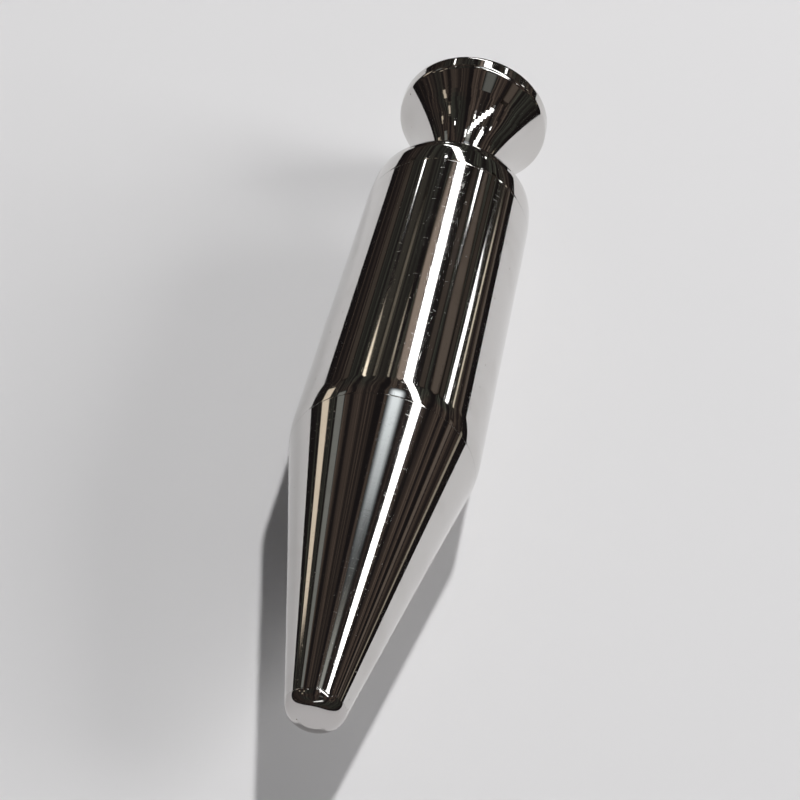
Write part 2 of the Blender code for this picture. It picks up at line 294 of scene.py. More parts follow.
@dataclass(frozen=True)
class TurnedMetal(Finish):
    """Metal from the lathe: rings round the axis, hair scratches, pits and smudges.

    Depths are in microns, spacings in metres and scales in features a metre.
    """

    ring_spacing: float = 0.00045
    ring_depth: float = 0.35
    scratch_depth: float = 0.5
    scratch_roughness: float = 0.12
    grain_depth: float = 0.05
    grain_scale: float = 6500.0
    wear_scale: float = 160.0
    pit_scale: float = 1100.0
    pit_depth: float = 3.0
    pit_roughness: float = 0.3
    smudge: float = 0.03
    pit_share: float = 0.04
    stain: Colour = (0.30, 0.27, 0.23)
    stain_share: float = 0.12

    def surface(self, graph: Graph, centred: Socket) -> tuple[Any, Any, Any]:
        """Return the colour, the roughness and the height in microns over the surface."""
        _, along, _ = graph.parts(centred)
        rings = graph.noise(along, 1.0 / self.ring_spacing, 3.0)
        worn = graph.noise(centred, self.wear_scale, 3.0)
        grain = graph.noise(centred, self.grain_scale, 2.0)
        lengthways = graph.noise(stretched(graph, centred, (9000.0, 420.0, 9000.0)), 1.0, 1.0)
        crossways = graph.noise(stretched(graph, centred, (500.0, 11000.0, 500.0)), 1.0, 1.0)
        scratches = lengthways.between(0.70, 0.76).through("MAXIMUM", crossways.between(0.71, 0.77))
        cells = graph.node("ShaderNodeTexVoronoi", {}, {"Vector": centred, "Scale": self.pit_scale})
        lot = graph.wire(graph.node("ShaderNodeSeparateColor", {}, {0: cells.outputs["Color"]}), 0)
        pits = graph.wire(cells, "Distance").between(0.17, 0.07) * (lot < self.pit_share)
        smudges = worn.between(0.45, 0.75)
        clean = graph.mix(smudges * self.stain_share, rgba(self.colour), rgba(self.stain))
        colour = graph.mix(pits * 0.8, clean, rgba(self.stain))
        roughness = (self.roughness + smudges * self.smudge + scratches * self.scratch_roughness
                     + pits * self.pit_roughness)
        height = (rings * worn * (2.0 * self.ring_depth) + grain * self.grain_depth
                  - scratches * self.scratch_depth - pits * self.pit_depth)
        return colour, roughness, height


@dataclass(frozen=True)
class CastMetal(Finish):
    """Dull cast metal, mottled by oxide."""

    def surface(self, graph: Graph, centred: Socket) -> tuple[Any, Any, Any]:
        """Return the colour, the roughness and the height in microns over the surface."""
        mottle = graph.noise(centred, 700.0, 5.0).between(0.35, 0.7)
        skin = graph.noise(centred, 3000.0, 4.0)
        colour = graph.mix(mottle, rgba(self.colour), (0.40, 0.41, 0.42, 1.0))
        return colour, self.roughness + skin * 0.25 - mottle * 0.1, skin * 30.0


@dataclass(frozen=True)
class MouldedRubber(Finish):
    """Black rubber with a fine moulded skin and a dusting of bloom."""

    def surface(self, graph: Graph, centred: Socket) -> tuple[Any, Any, Any]:
        """Return the colour, the roughness and the height in microns over the surface."""
        skin = graph.noise(centred, 9000.0, 3.0)
        bloom = graph.noise(centred, 900.0, 2.0).between(0.5, 0.8)
        colour = graph.mix(bloom * 0.5, rgba(self.colour), (0.07, 0.07, 0.075, 1.0))
        return colour, self.roughness + skin * 0.15 - bloom * 0.08, skin * 8.0


@dataclass(frozen=True)
class PressedFelt(Finish):
    """Wool felt: matted fibres in lighter and darker greys."""

    def surface(self, graph: Graph, centred: Socket) -> tuple[Any, Any, Any]:
        """Return the colour, the roughness and the height in microns over the surface."""
        first = graph.noise(stretched(graph, centred, (2200.0, 5000.0, 9000.0)), 1.0, 3.0)
        second = graph.noise(stretched(graph, centred, (9000.0, 5000.0, 2200.0)), 1.0, 3.0)
        fibres = first.through("MAXIMUM", second)
        colour = graph.mix(fibres.between(0.45, 0.7), rgba(self.colour), (0.55, 0.54, 0.51, 1.0))
        return colour, self.roughness - fibres * 0.1, fibres * 90.0


POLISHED = TurnedMetal("polished_steel_skin", "polished_steel", (0.66, 0.645, 0.63), 0.045)
HARDENED = TurnedMetal("hardened_point_skin", "hardened_steel", (0.60, 0.58, 0.57), 0.06, ring_depth=0.25)
TURNED = TurnedMetal("turned_stud_skin", "turned_steel", (0.55, 0.55, 0.56), 0.24, ring_spacing=0.0002,
                     ring_depth=1.6, smudge=0.1)
BRASS = TurnedMetal("turned_brass_skin", "brass", (0.78, 0.56, 0.25), 0.2, ring_spacing=0.0002,
                    ring_depth=1.2, smudge=0.12, stain=(0.32, 0.2, 0.08), stain_share=0.5)
CAST = CastMetal("cast_core_skin", "lead_alloy", (0.24, 0.25, 0.27), 0.5)
RUBBER = MouldedRubber("seal_rubber_skin", "black_rubber", (0.025, 0.025, 0.027), 0.55, 0.0)
FELT = PressedFelt("core_felt_skin", "grey_felt", (0.30, 0.29, 0.27), 0.97, 0.0)


# Outlines in the (along, radius) plane.

def arc(centre: Place, radius: float, start: float, end: float, steps: int) -> list[Place]:
    """Return the points of an arc, ends included."""
    angles = [start + (end - start) * step / steps for step in range(steps + 1)]
    return [(centre[0] + radius * cos(a), centre[1] + radius * sin(a)) for a in angles]


def rounded_corner(before: Place, corner: Place, after: Place, radius: float, steps: int) -> list[Place]:
    """Return the arc that rounds a corner.

    Args:
        before: a place on the straight line that comes in.
        corner: the corner itself.
        after: a place on the straight line that goes out.
        radius: the arc's radius.
        steps: how many chords the arc has.

    Returns:
        The arc's points, from the tangent on the first line to the one on the second.
    """
    to_before = (Vector(before) - Vector(corner)).normalized()
    to_after = (Vector(after) - Vector(corner)).normalized()
    half = to_before.angle(to_after) / 2
    centre = Vector(corner) + (to_before + to_after).normalized() * radius / sin(half)
    first = Vector(corner) + to_before * radius / tan(half) - centre
    last = Vector(corner) + to_after * radius / tan(half) - centre
    start = atan2(first.y, first.x)
    sweep = (atan2(last.y, last.x) - start + pi) % (2 * pi) - pi
    return arc((centre.x, centre.y), radius, start, start + sweep, steps)


def soften(points: list[Place], radius: float, steps: int = 4) -> list[Place]:
    """Round every sharp corner of an outline.

    Args:
        points: the outline's corners in order.
        radius: the edge radius, made smaller where the sides are short.
        steps: how many chords each rounded edge has.

    Returns:
        The outline with its edges broken.
    """
    sharp = radians(14)
    made = [points[0]]
    for before, corner, after in zip(points, points[1:], points[2:]):
        come, go = Vector(corner) - Vector(before), Vector(after) - Vector(corner)
        if min(come.length, go.length) < 1e-6:
            continue
        bend = come.angle(go)
        if bend < sharp:
            made.append(corner)
            continue
        room = 0.4 * min(come.length, go.length) / tan(bend / 2)
        made += rounded_corner(before, corner, after, min(radius, room), steps)
    return made + [points[-1]]


def pin_flats(points: list[Place], margin: float = 0.04, shortest: float = 0.5) -> list[Place]:
    """Add a point near both ends of each long straight stretch, so that its shading stays flat.

    Args:
        points: the outline.
        margin: how far from the end each new point is.
        shortest: the length from which a stretch counts as long.

    Returns:
        The outline with the points added.
    """
    made = [points[0]]
    for before, after in zip(points, points[1:]):
        stretch = Vector(after) - Vector(before)
        if stretch.length > shortest:
            step = stretch.normalized() * margin
            made += [tuple(Vector(before) + step), tuple(Vector(after) - step)]
        made.append(after)
    return made


# Sizes of what repeats.

@dataclass(frozen=True)
class Thread:
    """A right-hand screw thread."""

    crest: float
    root: float
    pitch: float
    turns: int

    @property
    def length(self) -> float:
        """The thread's length."""
        return self.pitch * self.turns

    def rows(self, start: float) -> list[Place]:
        """Return the corners of the thread's section, before it is wound into a helix."""
        section = ((0.10, self.root), (0.43, self.crest), (0.57, self.crest), (0.90, self.root))
        return [(start + (wind + share) * self.pitch, level)
                for wind in range(-1, self.turns + 1) for share, level in section]


@dataclass(frozen=True)
class Seal:
    """A rubber ring: the radius of its section and of the groove floor that it sits on."""

    section: float
    groove: float


@dataclass
class Run:
    """A stretch of outline: plain corners, or a thread and the place where it starts."""

    points: list[Place]
    thread: Thread | None = None
    start: float = 0.0


class Winding(Enum):
    """Whether a row of the outline stays a circle or winds into a helix."""

    CIRCLE = 0.0
    HELIX = 1.0


class Lathe:
    """Turns outlines into meshes with Geometry Nodes."""

    SIDES = 240

    def __init__(self, axis_height: float, shoulder: float) -> None:
        """Make the node group.

        Args:
            axis_height: the height of the axis, in metres.
            shoulder: the shoulder's place on Y, in metres.
        """
        self.axis_height = axis_height
        self.shoulder = shoulder
        self.group = self._make_group()

    def _make_group(self) -> bpy.types.NodeTree:
        """Return the Geometry Nodes group that turns an outline round the axis."""
        group = bpy.data.node_groups.new("turned_piece", "GeometryNodeTree")
        graph = Graph(group)
        kinds = {"Outline": "Geometry", "Sides": "Int", "Finish": "Material"}
        for name in ("Outline", "Sides", "Pitch", "Thread Start", "Thread End", "Root Radius",
                     "Axis Height", "Finish"):
            kind = "NodeSocket" + kinds.get(name, "Float")
            group.interface.new_socket(name, in_out="INPUT", socket_type=kind)
        group.interface.new_socket("Piece", in_out="OUTPUT", socket_type="NodeSocketGeometry")
        given = graph.node("NodeGroupInput")

        def asked(name: str) -> Wire:
            """Return one of the group's inputs."""
            return graph.wire(given, name)

        outline = given.outputs["Outline"]
        size = graph.node("GeometryNodeAttributeDomainSize", {}, {"Geometry": outline})
        count = graph.wire(size, "Point Count")
        sheet = graph.node("GeometryNodeMeshGrid", {}, {
            "Size X": 1.0, "Size Y": 1.0, "Vertices X": asked("Sides") + 1, "Vertices Y": count})
        across, up, _ = graph.parts(graph.node("GeometryNodeInputPosition").outputs[0])
        share = across + 0.5
        row = ((up + 0.5) * (count - 1)).through("ROUND")
        corner = graph.node("GeometryNodeSampleIndex", {"data_type": "FLOAT_VECTOR"}, {
            "Geometry": outline, "Value": graph.node("GeometryNodeInputPosition").outputs[0], "Index": row})
        _, straight, level = graph.parts(corner.outputs[0])
        named = graph.node("GeometryNodeInputNamedAttribute", {"data_type": "FLOAT"}, {"Name": "helix"})
        helix = graph.wire(graph.node("GeometryNodeSampleIndex", {"data_type": "FLOAT"}, {
            "Geometry": outline, "Value": named.outputs["Attribute"], "Index": row}), "Value")
        start, end, pitch = asked("Thread Start"), asked("Thread End"), asked("Pitch")
        wound = (straight + share * pitch).through("MAXIMUM", start).through("MINIMUM", end)
        along = straight * (1 - helix) + wound * helix
        nearest = (wound - start).through("MINIMUM", end - wound)
        depth = (nearest / (pitch * 0.5 + MICRON)).between(0.0, 1.0)
        cut = asked("Root Radius") + (level - asked("Root Radius")) * depth
        radius = level * (1 - helix) + cut * helix
        turn = share * (2 * pi)
        target = graph.node("ShaderNodeCombineXYZ", {}, {
            "X": radius * turn.through("SINE"), "Y": along,
            "Z": radius * turn.through("COSINE") + asked("Axis Height")})
        piece = sheet.outputs["Mesh"]
        for kind, inputs in (("SetPosition", {"Position": target.outputs[0]}),
                             ("MergeByDistance", {"Distance": MICRON}), ("SetShadeSmooth", {}),
                             ("RealizeInstances", {}), ("SetMaterial", {"Material": given.outputs["Finish"]})):
            piece = graph.node("GeometryNode" + kind, {}, {"Geometry": piece, **inputs}).outputs[0]
        graph.node("NodeGroupOutput", {}, {0: piece})
        return group

    def turn(self, name: str, runs: list[Run], finish: Material, edge: float = 0.06,
             sides: int = SIDES) -> Object:
        """Turn one piece.

        Args:
            name: the piece's name.
            runs: the stretches of its outline, end to end; at most one of them is a thread.
            finish: its material.
            edge: the radius that every sharp edge is broken to.
            sides: how many sides the piece has round the axis.

        Returns:
            The piece, as a plain mesh with its place in its vertices.
        """
        rows: list[tuple[Place, Winding]] = []
        thread, start = Thread(0.0, 0.0, 0.0, 0), 0.0
        for run in runs:
            if run.thread:
                thread, start = run.thread, run.start
                rows += [(place, Winding.HELIX) for place in thread.rows(start)]
            else:
                rows += [(place, Winding.CIRCLE) for place in pin_flats(soften(run.points, edge))]
        outline = bpy.data.meshes.new(name + "_outline")
        corners = [(0, self.place_on_axis(along), radius * MM) for (along, radius), _ in rows]
        outline.from_pydata(corners, [], [])
        helix = outline.attributes.new("helix", "FLOAT", "POINT")
        helix.data.foreach_set("value", [winding.value for _, winding in rows])
        host = new_object(name + "_outline", outline)
        values = {"Sides": sides, "Pitch": thread.pitch * MM, "Thread Start": self.place_on_axis(start),
                  "Thread End": self.place_on_axis(start + thread.length), "Root Radius": thread.root * MM,
                  "Axis Height": self.axis_height, "Finish": finish}
        return self._bake(host, name, values)

    def place_on_axis(self, along: float) -> float:
        """Return the Y coordinate, in metres, of a place along the axis."""
        return self.shoulder + along * MM

    def _bake(self, host: Object, name: str, values: dict[str, Any]) -> Object:
        """Run the node group on an outline and return the result as a plain object."""
        modifier = host.modifiers.new("turned", "NODES")
        modifier.node_group = self.group
        for item in self.group.interface.items_tree:
            if item.in_out == "INPUT" and item.name in values:
                modifier[item.identifier] = values[item.name]
        evaluated = host.evaluated_get(bpy.context.evaluated_depsgraph_get())
        mesh = bpy.data.meshes.new_from_object(evaluated)
        host.modifiers.remove(modifier)
        bpy.data.objects.remove(host, do_unlink=True)
        cleaned = bmesh.new()
        cleaned.from_mesh(mesh)
        bmesh.ops.remove_doubles(cleaned, verts=cleaned.verts, dist=MICRON)
        bmesh.ops.dissolve_degenerate(cleaned, edges=cleaned.edges, dist=MICRON)
        bmesh.ops.recalc_face_normals(cleaned, faces=cleaned.faces)
        cleaned.to_mesh(mesh)
        cleaned.free()
        mesh.name = name
        mesh.shade_smooth()
        mesh.set_sharp_from_angle(angle=radians(40))
        return new_object(name, mesh)


@dataclass(frozen=True)
class Fittings:
    """The sizes that more than one piece shares, in millimetres."""

    shoulder_radius: float = 12.0
    shoulder_rounding: float = 13.5
    body_length: float = 50.0
    body_top_radius: float = 10.9
    body_top_rounding: float = 1.85
    plug_seat: float = 44.4
    nose_length: float = 43.4
    tip_radius: float = 3.3
    tip_rounding: float = 2.2
    head_height: float = 18.1
    fit_gap: float = 0.3
    seat_gap: float = 0.3
    joint_gap: float = 0.02
    chamfer: float = 0.4
    nose_thread: Thread = Thread(6.6, 5.9, 1.5, 5)
    point_thread: Thread = Thread(2.4, 2.0, 0.7, 8)
    stud_thread: Thread = Thread(2.5, 2.05, 0.8, 7)
    plug_thread: Thread = Thread(8.0, 7.4, 1.5, 4)
    nose_seal: Seal = Seal(0.6, 5.3)
    point_seal: Seal = Seal(0.32, 1.35)
    head_seal: Seal = Seal(0.35, 1.6)
    nose_bore_radius: float = 7.1
    nose_bore_depth: float = 12.0
    web_thickness: float = 2.0
    core_length: float = 20.0
    pad_thickness: float = 1.4
    plug_floor: float = 2.0
    plug_pocket_radius: float = 2.95
    button_length: float = 2.4

    @property
    def body_slope(self) -> float:
        """The barrel's taper."""
        return atan2(self.shoulder_radius - self.body_top_radius, self.body_length)

    @property
    def nose_slope(self) -> float:
        """The slope of the nose's cone."""
        return atan2(self.shoulder_radius - self.tip_radius, self.nose_length)

    def tip_curve(self) -> list[Place]:
        """Return the tip's rounding, from the nose's cone to the flat end."""
        end = -self.nose_length
        return rounded_corner((0, self.shoulder_radius), (end, self.tip_radius), (end, 0),
                              self.tip_rounding, 24)

    def shoulder_curve(self) -> list[Place]:
        """Return the rounded shoulder, from the nose to the barrel's taper."""
        return rounded_corner((-self.nose_length, self.tip_radius), (0, self.shoulder_radius),
                              (self.body_length, self.body_top_radius), self.shoulder_rounding, 16)

    @property
    def bore_floor(self) -> float:
        """The floor of the barrel's bore for the nose."""
        return self.shoulder_curve()[0][0] + self.nose_bore_depth

    @property
    def core_start(self) -> float:
        """Where the heavy core starts."""
        return self.bore_floor + self.web_thickness + self.seat_gap

    @property
    def pad_start(self) -> float:
        """Where the felt pad starts."""
        return self.core_start + self.core_length + self.seat_gap

    @property
    def plug_start(self) -> float:
        """Where the end plug starts."""
        return self.pad_start + self.pad_thickness + self.seat_gap

    @property
    def button_start(self) -> float:
        """Where the cord's button starts."""
        return self.plug_start + self.plug_floor + self.seat_gap

    @property
    def head_seat(self) -> float:
        """Where the head starts."""
        return self.body_length + self.seat_gap

    @property
    def head_end(self) -> float:
        """The bob's upper end."""
        return self.head_seat + self.head_height

    @property
    def core_bore_radius(self) -> float:
        """The radius of the bore that holds the core."""
        return self.plug_thread.crest + self.fit_gap


def seal_groove(seal: Seal, along: float, land: float, gap: float) -> list[Place]:
    """Return the corners of the groove that a seal sits in."""
    first, last = along - seal.section - gap, along + seal.section + gap
    return [(first, land), (first, seal.groove), (last, seal.groove), (last, land)]


class Assembly:
    """A group of neighbouring pieces. Edges at a joint are sharper than others, so that it hardly shows."""

    JOINT_EDGE = 0.012

    def __init__(self, lathe: Lathe, fit: Fittings, finishes: dict[str, Material]) -> None:
        """Keep what every piece needs."""
        self.lathe = lathe
        self.fit = fit
        self.finishes = finishes

    def add(self, name: str, node: str, body: str, finish: Finish, runs: list[Run], edge: float = 0.06,
            sides: int = Lathe.SIDES) -> Object:
        """Turn a piece and set it on its body.

        Args:
            name: the piece's name.
            node: the frame's node that it stands for.
            body: the frame's body that it moves with.
            finish: its finish.
            runs: its outline.
            edge: the radius of its broken edges.
            sides: how many sides it has.

        Returns:
            The piece.
        """
        piece = self.lathe.turn(name, runs, self.finishes[finish.name], edge, sides)
        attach(piece, body)
        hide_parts(node)
        LOG.info("%s: %d faces on %s", name, len(piece.data.polygons), body)
        return piece

    def tail(self, thread: Thread, start: float) -> list[Place]:
        """Return the chamfered end of a shank whose thread begins at start."""
        end = start + thread.length
        chamfer = self.fit.chamfer
        return [(end, thread.root), (end + chamfer, thread.root - chamfer), (end + chamfer, 0)]

    def ring(self, name: str, node: str, body: str, seal: Seal, along: float) -> Object:
        """Make a rubber ring.

        Args:
            name: the piece's name.
            node: the frame's node that it stands for.
            body: the frame's body that it moves with.
            seal: its section and the groove that it sits in.
            along: its place along the axis.

        Returns:
            The ring.
        """
        centre = (along, seal.groove + self.fit.fit_gap + seal.section)
        section = arc(centre, seal.section, 0, 2 * pi, 28)
        return self.add(name, node, body, RUBBER, [Run(section)], sides=120)

    def slug(self, name: str, node: str, finish: Finish, start: float, length: float, radius: float,
             chamfer: float) -> Object:
        """Make a plain round slug in the barrel.

        Args:
            name: the piece's name.
            node: the frame's node that it stands for.
            finish: its finish.
            start: where it starts along the axis.
            length: its length.
            radius: its radius.
            chamfer: the size of its chamfers.

        Returns:
            The slug.
        """
        profile = [(start, 0), (start, radius - chamfer), (start + chamfer, radius),
                   (start + length - chamfer, radius), (start + length, radius - chamfer), (start + length, 0)]
        return self.add(name, node, "body", finish, [Run(profile)], edge=0.15)


class Body(Assembly):
    """The barrel with what is sealed inside it."""

    def build(self) -> None:
        """Build the four pieces."""
        self.barrel()
        self.end_plug()
        fit = self.fit
        radius = fit.core_bore_radius - fit.fit_gap
        self.slug("cast_core", "heavy_core", CAST, fit.core_start, fit.core_length, radius, fit.chamfer)
        self.slug("felt_pad", "core_pad", FELT, fit.pad_start, fit.pad_thickness, radius, fit.chamfer / 2)

    def barrel(self) -> None:
        """Turn the polished barrel, bored from both ends."""
        fit = self.fit
        curve = fit.shoulder_curve()
        mouth = curve[0][0] + fit.joint_gap / 2
        seat = fit.plug_seat - fit.joint_gap / 2
        seat_radius = fit.shoulder_radius - seat * tan(fit.body_slope)
        web_end = fit.bore_floor + fit.web_thickness
        profile = [
            (fit.bore_floor, 0),
            (fit.bore_floor, fit.nose_bore_radius),
            (mouth + fit.chamfer, fit.nose_bore_radius),
            (mouth, fit.nose_bore_radius + fit.chamfer),
            (mouth, curve[0][1]),
            *curve[1:],
            (seat, seat_radius),
            (seat, fit.core_bore_radius + fit.chamfer),
            (seat - fit.chamfer, fit.core_bore_radius),
            (web_end, fit.core_bore_radius),
            (web_end, 0),
        ]
        self.add("polished_barrel", "barrel", "body", POLISHED, [Run(profile)], self.JOINT_EDGE)

    def end_plug(self) -> None:
        """Turn the crowned plug that closes the barrel."""
        fit = self.fit
        crown_radius, crown_turn = 35.0, radians(6)
        root = fit.plug_thread.root
        thread_start = fit.plug_start + 2 * fit.chamfer
        thread_end = thread_start + fit.plug_thread.length
        seat = fit.plug_seat + fit.joint_gap / 2
        seat_radius = fit.shoulder_radius - fit.plug_seat * tan(fit.body_slope)
        normal = pi / 2 - fit.body_slope
        centre = (fit.plug_seat - crown_radius * cos(normal), seat_radius - crown_radius * sin(normal))
        crown = arc(centre, crown_radius, normal, normal - crown_turn, 12)
        along, radius = crown[-1]
        corner = (fit.body_length, radius - (fit.body_length - along) * tan(fit.body_slope + crown_turn))
        rounding = rounded_corner(crown[0], corner, (fit.body_length, 0), fit.body_top_rounding, 20)
        pocket = fit.plug_pocket_radius
        floor = fit.plug_start + fit.plug_floor
        shank = [(fit.plug_start, 0), (fit.plug_start, root - fit.chamfer),
                 (thread_start - fit.chamfer, root), (thread_start, root)]
        flange = [(thread_end, root), (seat, root), (seat, seat_radius), *crown[1:-1], *rounding,
                  (fit.body_length, pocket + fit.chamfer), (fit.body_length - fit.chamfer, pocket),
                  (floor, pocket), (floor, 0)]
        self.add("crowned_plug", "end_plug", "body", POLISHED,
                 [Run(shank), Run([], fit.plug_thread, thread_start), Run(flange)], self.JOINT_EDGE)


class Nose(Assembly):
    """The screwed cone, its seal, and the screwed point with its own seal."""

    nose_seal_inset = 2.2
    nose_shank = 1.9
    point_seal_inset = 1.5
    point_shank = 1.2
    bore_spare = 1.0

    def build(self) -> None:
        """Build the four pieces."""
        fit = self.fit
        self.seat = fit.shoulder_curve()[0]
        self.point_seat, self.point_seat_radius = fit.tip_curve()[0]
        self.seal_along = self.seat[0] + self.nose_seal_inset
        self.point_seal_along = self.point_seat + self.point_seal_inset
        self.cone()
        self.ring("nose_seal", "nose_o_ring", "nose_ring", fit.nose_seal, self.seal_along)
        self.point()
        self.ring("point_seal", "point_o_ring", "point_ring", fit.point_seal, self.point_seal_along)

    def cone(self) -> None:
        """Turn the cone with its threaded spigot."""
        fit, thread = self.fit, self.fit.nose_thread
        bore = fit.point_thread.crest + fit.fit_gap
        small_end = self.point_seat + fit.joint_gap / 2
        large_end = self.seat[0] - fit.joint_gap / 2
        floor = self.point_seal_along + self.point_shank + fit.point_thread.length + self.bore_spare
        start = self.seal_along + self.nose_shank
        cone = [
            (floor, 0), (floor, bore), (small_end, bore),
            (small_end, self.point_seat_radius + (small_end - self.point_seat) * tan(fit.nose_slope)),
            (large_end, self.seat[1] - (self.seat[0] - large_end) * tan(fit.nose_slope)),
            (large_end, thread.crest),
            *seal_groove(fit.nose_seal, self.seal_along, thread.crest, fit.fit_gap),
            (start - fit.chamfer, thread.crest), (start - fit.chamfer, thread.root), (start, thread.root),
        ]
        self.add("polished_cone", "nose_cone", "nose", POLISHED,
                 [Run(cone), Run([], thread, start), Run(self.tail(thread, start))], self.JOINT_EDGE)

    def point(self) -> None:
        """Turn the blunt point on its threaded shank."""
        fit, thread = self.fit, self.fit.point_thread
        curve = fit.tip_curve()
        seat, radius = self.point_seat - fit.joint_gap / 2, curve[1][1]
        share = fit.joint_gap / 2 / (self.point_seat - curve[1][0])
        seat_radius = self.point_seat_radius + (radius - self.point_seat_radius) * share
        start = self.point_seal_along + self.point_shank
        shank = [(-fit.nose_length, 0), *curve[:0:-1], (seat, seat_radius), (seat, thread.root),
                 *seal_groove(fit.point_seal, self.point_seal_along, thread.root, fit.fit_gap),
                 (start, thread.root)]
        self.add("blunt_point", "point", "point", HARDENED,
                 [Run(shank), Run([], thread, start), Run(self.tail(thread, start))], self.JOINT_EDGE)


class Head(Assembly):
    """The flared head with its stud, seal, ferrule and the cord's button."""

    neck_radius = 3.7
    neck_corner = 7.8
    flare_rounding = 20.5
    rim_radius = 10.25
    rim_thickness = 2.7
    rim_rounding = 1.0
    cord_hole = 0.9
    cord_way = 1.5
    socket_depth = 9.7
    flange_radius = 3.2
    flange_thickness = 0.9
    tube_radius = 1.9
    tube_hole = 1.1
    ferrule_length = 4.5
    ferrule_gap = 0.05
    seal_depth = 1.4
    bead_radius = 2.2
    bead_hole = 0.8

    def build(self) -> None:
        """Build the five pieces."""
        fit = self.fit
        self.flared_head()
        self.stud()
        self.ring("head_seal", "head_o_ring", "head_ring", fit.head_seal, fit.body_length - self.seal_depth)
        self.ferrule()
        self.button()

    def flared_head(self) -> None:
        """Turn the head: neck, flare and rounded rim, bored from both ends."""
        fit = self.fit
        bottom = fit.head_seat - fit.seat_gap + fit.joint_gap
        socket = fit.stud_thread.crest + fit.fit_gap
        socket_floor = fit.head_seat + self.socket_depth
        rim_start = fit.head_end - self.rim_thickness
        neck_top = (fit.head_seat + self.neck_corner, self.neck_radius)
        flare = rounded_corner((fit.head_seat, self.neck_radius), neck_top, (rim_start, self.rim_radius),
                               self.flare_rounding, 24)
        front = rounded_corner(neck_top, (rim_start, self.rim_radius), (fit.head_end, self.rim_radius),
                               self.rim_rounding, 10)
        back = rounded_corner((rim_start, self.rim_radius), (fit.head_end, self.rim_radius),
                              (fit.head_end, 0), self.rim_rounding, 10)
        flange = self.flange_radius + self.ferrule_gap
        recess = fit.head_end - self.flange_thickness - fit.fit_gap
        tube_floor = fit.head_end - self.ferrule_length - fit.seat_gap
        profile = [
            (socket_floor, socket), (bottom, socket), (bottom, self.neck_radius), *flare, *front, *back,
            (fit.head_end, flange), (recess, flange),
            (recess, self.tube_radius + fit.fit_gap), (tube_floor, self.tube_radius + fit.fit_gap),
            (tube_floor, self.cord_way), (socket_floor, self.cord_way), (socket_floor, socket),
        ]
        self.add("flared_head", "head", "head", POLISHED, [Run(profile)])

    def stud(self) -> None:
        """Turn the drilled stud that joins the head to the plug."""
        fit, thread = self.fit, self.fit.stud_thread
        first = fit.button_start + fit.button_length + fit.seat_gap
        last = fit.head_seat + self.socket_depth - fit.seat_gap
        start = first + fit.chamfer
        end = start + thread.length
        lower = [(first, self.cord_hole), (first, thread.root - fit.chamfer), (start, thread.root)]
        upper = [(end, thread.root),
                 *seal_groove(fit.head_seal, fit.body_length - self.seal_depth, thread.root, fit.fit_gap),
                 (fit.head_seat, thread.root), (fit.head_seat, thread.crest),
                 (last - fit.chamfer, thread.crest),
                 (last, thread.crest - fit.chamfer), (last, self.cord_hole), (first, self.cord_hole)]
        self.add("hollow_stud", "head_stud", "head", TURNED,
                 [Run(lower), Run([], thread, start), Run(upper)], edge=0.04, sides=160)

    def ferrule(self) -> None:
        """Turn the flanged brass bush in the head's end."""
        fit = self.fit
        start = fit.head_end - self.ferrule_length
        flange = fit.head_end - self.flange_thickness
        lip = rounded_corner((fit.head_end, self.flange_radius), (fit.head_end, self.tube_hole),
                             (start, self.tube_hole), fit.chamfer * 1.4, 8)
        profile = [(start, self.tube_hole), (start, self.tube_radius), (flange, self.tube_radius),
                   (flange, self.flange_radius), (fit.head_end, self.flange_radius), *lip,
                   (start, self.tube_hole)]
        self.add("brass_ferrule", "cord_ferrule", "head", BRASS, [Run(profile)], edge=0.08, sides=160)

    def button(self) -> None:
        """Turn the drilled bead that the cord's knot pulls against."""
        fit = self.fit
        start, radius, hole = fit.button_start, self.bead_radius, self.bead_hole
        end = start + fit.button_length
        profile = [(start, hole), (start, radius - fit.chamfer), (start + fit.chamfer, radius),
                   (end - fit.chamfer, radius), (end, radius - fit.chamfer), (end, hole), (start, hole)]
        self.add("cord_bead", "cord_button", "button", BRASS, [Run(profile)], edge=0.1, sides=120)


# The studio.

@dataclass(frozen=True)
class Lamp:
    """A bright panel that only reflections see, drawn between two points of the room.

    Points are in the room's own measure, where the ceiling is 1 above the bob.
    """

    name: str
    start: tuple[float, float, float]
    end: tuple[float, float, float]
    width: float
    colour: Colour
    level: float
    soft: float


def ceiling_lamp(name: str, first: Place, last: Place, width: float, colour: Colour, level: float,
                 soft: float) -> Lamp:
    """Return a lamp on the ceiling, from its ends' places to the side of and beyond the bob."""
    return Lamp(name, (*first, 1.0), (*last, 1.0), width, colour, level, soft)


def wall_lamp(name: str, first: Place, last: Place, width: float, colour: Colour, level: float,
              soft: float) -> Lamp:
    """Return a lamp on the room's sides.

    Args:
        name: the lamp's name.
        first: one end's bearing, as degrees to the side of upright and degrees from the bob's axis.
        last: the other end's bearing.
        width: its width in degrees.
        colour: its colour.
        level: its brightness.
        soft: the share of it that fades out.

    Returns:
        The lamp, at a distance of 1.
    """
    def aimed(bearing: Place) -> tuple[float, float, float]:
        """Return the point at a bearing."""
        side, lean = radians(bearing[0]), radians(bearing[1])
        return sin(side) * sin(lean), cos(lean), cos(side) * sin(lean)

    return Lamp(name, aimed(first), aimed(last), radians(width), colour, level, soft)


WHITE = (1.0, 1.0, 1.0)
WARM = (1.0, 0.88, 0.70)
TAN = (1.0, 0.86, 0.68)
BROWN = (1.0, 0.80, 0.66)
GREY = (0.95, 0.97, 0.90)
COOL = (0.90, 0.97, 1.0)

